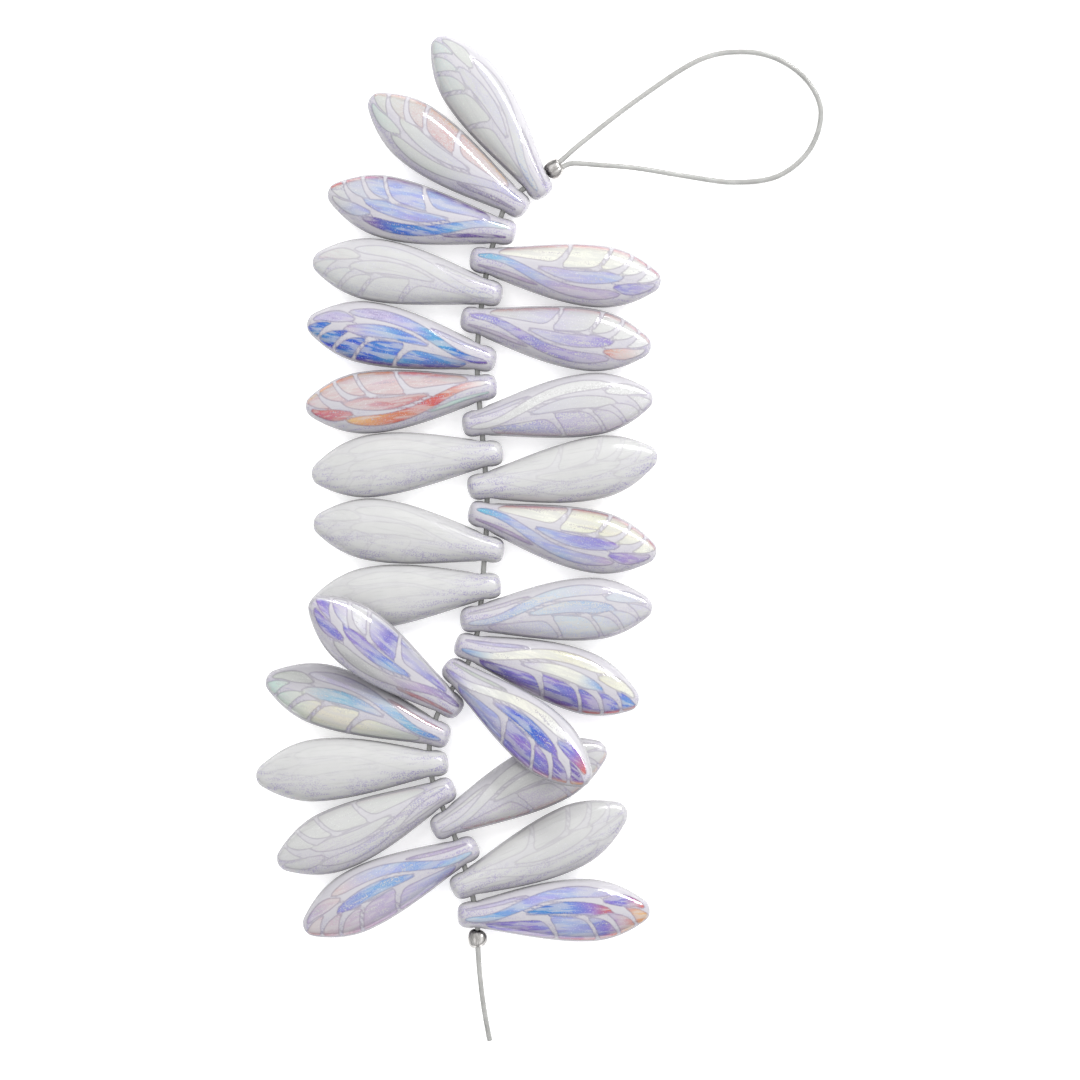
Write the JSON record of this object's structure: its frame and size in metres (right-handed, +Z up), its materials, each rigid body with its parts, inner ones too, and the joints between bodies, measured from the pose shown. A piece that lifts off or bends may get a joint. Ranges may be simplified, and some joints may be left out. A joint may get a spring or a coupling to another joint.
{
  "type": "strand of wing-shaped glass beads",
  "caption": "Strand of wing-shaped pressed glass beads, each turning on a nylon monofilament that ends in a hanging loop, a bare tail and two squeezed crimps.",
  "frame": {"origin": "under the middle of the strand without its hanging loop, on the surface it lies on", "axes": "+Z up, +Y along the strand towards its hanging loop, +X to the side where the loop lies"},
  "size_m": [0.0471, 0.0835, 0.0068],
  "materials": {
    "opal_glass": "glossy opal glass, its raised wing cells with a mirror-like rainbow coating between matt etched veins",
    "nylon": "translucent smooth nylon",
    "crimp_metal": "polished silver-coloured metal"
  },
  "bodies": {
    "strand": {"thread_strung": "nylon", "thread_loop": "nylon", "crimp_upper": "crimp_metal", "crimp_lower": "crimp_metal"},
    "wing_01": {"bead_01": "opal_glass"},
    "wing_02": {"bead_02": "opal_glass"},
    "wing_03": {"bead_03": "opal_glass"},
    "wing_04": {"bead_04": "opal_glass"},
    "wing_05": {"bead_05": "opal_glass"},
    "wing_06": {"bead_06": "opal_glass"},
    "wing_07": {"bead_07": "opal_glass"},
    "wing_08": {"bead_08": "opal_glass"},
    "wing_09": {"bead_09": "opal_glass"},
    "wing_10": {"bead_10": "opal_glass"},
    "wing_11": {"bead_11": "opal_glass"},
    "wing_12": {"bead_12": "opal_glass"},
    "wing_13": {"bead_13": "opal_glass"},
    "wing_14": {"bead_14": "opal_glass"},
    "wing_15": {"bead_15": "opal_glass"},
    "wing_16": {"bead_16": "opal_glass"},
    "wing_17": {"bead_17": "opal_glass"},
    "wing_18": {"bead_18": "opal_glass"},
    "wing_19": {"bead_19": "opal_glass"},
    "wing_20": {"bead_20": "opal_glass"},
    "wing_21": {"bead_21": "opal_glass"},
    "wing_22": {"bead_22": "opal_glass"},
    "wing_23": {"bead_23": "opal_glass"},
    "wing_24": {"bead_24": "opal_glass"},
    "wing_25": {"bead_25": "opal_glass"}
  },
  "joints": [
    {"name": "turn_01", "type": "hinge", "parent": "strand", "child": "wing_01", "pos_m": [0.00629, 0.02973, 0.0016], "axis": [0.8237, 0.567, 0], "range_deg": [0, 90]},
    {"name": "turn_02", "type": "hinge", "parent": "strand", "child": "wing_02", "pos_m": [0.00432, 0.02817, 0.0016], "axis": [0.5874, 0.8093, 0], "range_deg": [0, 55]},
    {"name": "turn_03", "type": "hinge", "parent": "strand", "child": "wing_03", "pos_m": [0.00321, 0.02566, 0.0016], "axis": [0.2194, 0.9756, 0], "range_deg": [0, 90]},
    {"name": "turn_04", "type": "hinge", "parent": "strand", "child": "wing_04", "pos_m": [0.0025, 0.0231, 0.0016], "axis": [-0.1225, -0.9925, 0], "range_deg": [0, 15]},
    {"name": "turn_05", "type": "hinge", "parent": "strand", "child": "wing_05", "pos_m": [0.00205, 0.02049, 0.0016], "axis": [0.1835, 0.983, 0], "range_deg": [0, 80]},
    {"name": "turn_06", "type": "hinge", "parent": "strand", "child": "wing_06", "pos_m": [0.00174, 0.01812, 0.0016], "axis": [-0.1538, -0.9881, 0], "range_deg": [0, 35]},
    {"name": "turn_07", "type": "hinge", "parent": "strand", "child": "wing_07", "pos_m": [0.00154, 0.01508, 0.0016], "axis": [0.2021, 0.9794, 0], "range_deg": [0, 90]},
    {"name": "turn_08", "type": "hinge", "parent": "strand", "child": "wing_08", "pos_m": [0.00162, 0.01256, 0.0016], "axis": [-0.1128, 0.9936, 0], "range_deg": [0, 30]},
    {"name": "turn_09", "type": "hinge", "parent": "strand", "child": "wing_09", "pos_m": [0.00187, 0.00966, 0.0016], "axis": [0.1487, -0.9889, 0], "range_deg": [0, 90]},
    {"name": "turn_10", "type": "hinge", "parent": "strand", "child": "wing_10", "pos_m": [0.00211, 0.00701, 0.0016], "axis": [-0.1178, 0.993, 0], "range_deg": [0, 35]},
    {"name": "turn_11", "type": "hinge", "parent": "strand", "child": "wing_11", "pos_m": [0.00231, 0.0045, 0.0016], "axis": [0.174, -0.9847, 0], "range_deg": [0, 90]},
    {"name": "turn_12", "type": "hinge", "parent": "strand", "child": "wing_12", "pos_m": [0.00236, 0.00199, 0.0016], "axis": [-0.2205, -0.9754, 0], "range_deg": [0, 15]},
    {"name": "turn_13", "type": "hinge", "parent": "strand", "child": "wing_13", "pos_m": [0.00219, -0.00079, 0.0016], "axis": [0.1524, 0.9883, 0], "range_deg": [0, 80]},
    {"name": "turn_14", "type": "hinge", "parent": "strand", "child": "wing_14", "pos_m": [0.00196, -0.00397, 0.0016], "axis": [-0.115, 0.9934, 0], "range_deg": [0, 2]},
    {"name": "turn_15", "type": "hinge", "parent": "strand", "child": "wing_15", "pos_m": [0.00171, -0.00661, 0.0016], "axis": [0.0722, -0.9974, 0], "range_deg": [0, 90]},
    {"name": "turn_16", "type": "hinge", "parent": "strand", "child": "wing_16", "pos_m": [0.00124, -0.00908, 0.0016], "axis": [-0.3106, -0.9505, 0], "range_deg": [0, 10]},
    {"name": "turn_17", "type": "hinge", "parent": "strand", "child": "wing_17", "pos_m": [0.00021, -0.01137, 0.0016], "axis": [-0.6307, -0.776, 0], "range_deg": [0, 70]},
    {"name": "turn_18", "type": "hinge", "parent": "strand", "child": "wing_18", "pos_m": [-0.00116, -0.01332, 0.0016], "axis": [0.6066, 0.795, 0], "range_deg": [0, 10]},
    {"name": "turn_19", "type": "hinge", "parent": "strand", "child": "wing_19", "pos_m": [-0.00226, -0.01601, 0.0016], "axis": [0.3101, 0.9507, 0], "range_deg": [0, 2]},
    {"name": "turn_20", "type": "hinge", "parent": "strand", "child": "wing_20", "pos_m": [-0.00243, -0.01865, 0.0016], "axis": [-0.0712, 0.9975, 0], "range_deg": [0, 55]},
    {"name": "turn_21", "type": "hinge", "parent": "strand", "child": "wing_21", "pos_m": [-0.0018, -0.02108, 0.0016], "axis": [-0.4016, 0.9158, 0], "range_deg": [0, 90]},
    {"name": "turn_22", "type": "hinge", "parent": "strand", "child": "wing_22", "pos_m": [-0.00075, -0.02352, 0.0016], "axis": [0.434, -0.9009, 0], "range_deg": [0, 2]},
    {"name": "turn_23", "type": "hinge", "parent": "strand", "child": "wing_23", "pos_m": [0.00013, -0.02602, 0.0016], "axis": [-0.4379, 0.899, 0], "range_deg": [0, 80]},
    {"name": "turn_24", "type": "hinge", "parent": "strand", "child": "wing_24", "pos_m": [0.00087, -0.02843, 0.0016], "axis": [0.4218, -0.9067, 0], "range_deg": [0, 35]},
    {"name": "turn_25", "type": "hinge", "parent": "strand", "child": "wing_25", "pos_m": [0.00148, -0.03114, 0.0016], "axis": [0.0252, -0.9997, 0], "range_deg": [0, 90]}
  ]
}
